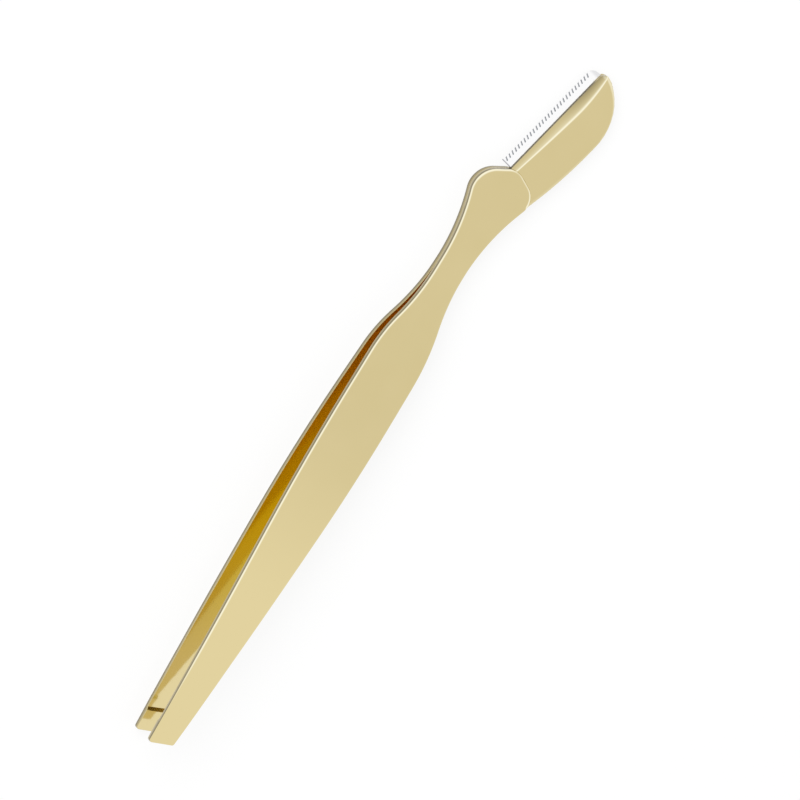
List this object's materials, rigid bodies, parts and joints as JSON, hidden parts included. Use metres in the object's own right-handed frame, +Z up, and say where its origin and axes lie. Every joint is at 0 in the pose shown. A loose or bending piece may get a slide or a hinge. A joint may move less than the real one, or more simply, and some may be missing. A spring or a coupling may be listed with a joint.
{
  "type": "eyebrow razor with tweezers",
  "caption": "Slim brow tool: a small fixed razor with a slotted safety guard at one end, and slant-tip spring tweezers at the other.",
  "frame": {"origin": "middle of the footprint, on the surface the tool lies on", "axes": "+X from the razor to the tweezer tips, -Y the way the blade edge faces, +Z up with the front arm on top"},
  "size_m": [0.124, 0.0146, 0.0095],
  "materials": {
    "gold_plated_steel": "polished pale gold plating over stainless steel",
    "blade_steel": "ground stainless steel",
    "guard_steel": "bright stainless foil"
  },
  "bodies": {
    "head": {"front_head_plate": "gold_plated_steel", "rear_head_plate": "gold_plated_steel", "front_holder_cheek": "gold_plated_steel", "rear_holder_cheek": "gold_plated_steel", "razor_blade": "blade_steel", "blade_guard": "guard_steel", "heel_pin": "guard_steel", "nose_pin": "guard_steel"},
    "front_leg": {"front_spring_leg": "gold_plated_steel"},
    "rear_leg": {"rear_spring_leg": "gold_plated_steel"}
  },
  "joints": [
    {"name": "front_leg_flex", "type": "hinge", "parent": "head", "child": "front_leg", "pos_m": [-0.02367, -0.00274, 0.00235], "axis": [0, 1, 0], "range_deg": [0, 1.98], "stiffness_Nm_per_rad": 2},
    {"name": "rear_leg_flex", "type": "hinge", "parent": "head", "child": "rear_leg", "pos_m": [-0.02367, -0.00274, 0.00235], "axis": [0, -1, 0], "range_deg": [0, 1.98], "stiffness_Nm_per_rad": 2}
  ],
  "couplings": [
    {"joint": "rear_leg_flex", "follows": "front_leg_flex", "ratio": 1}
  ]
}
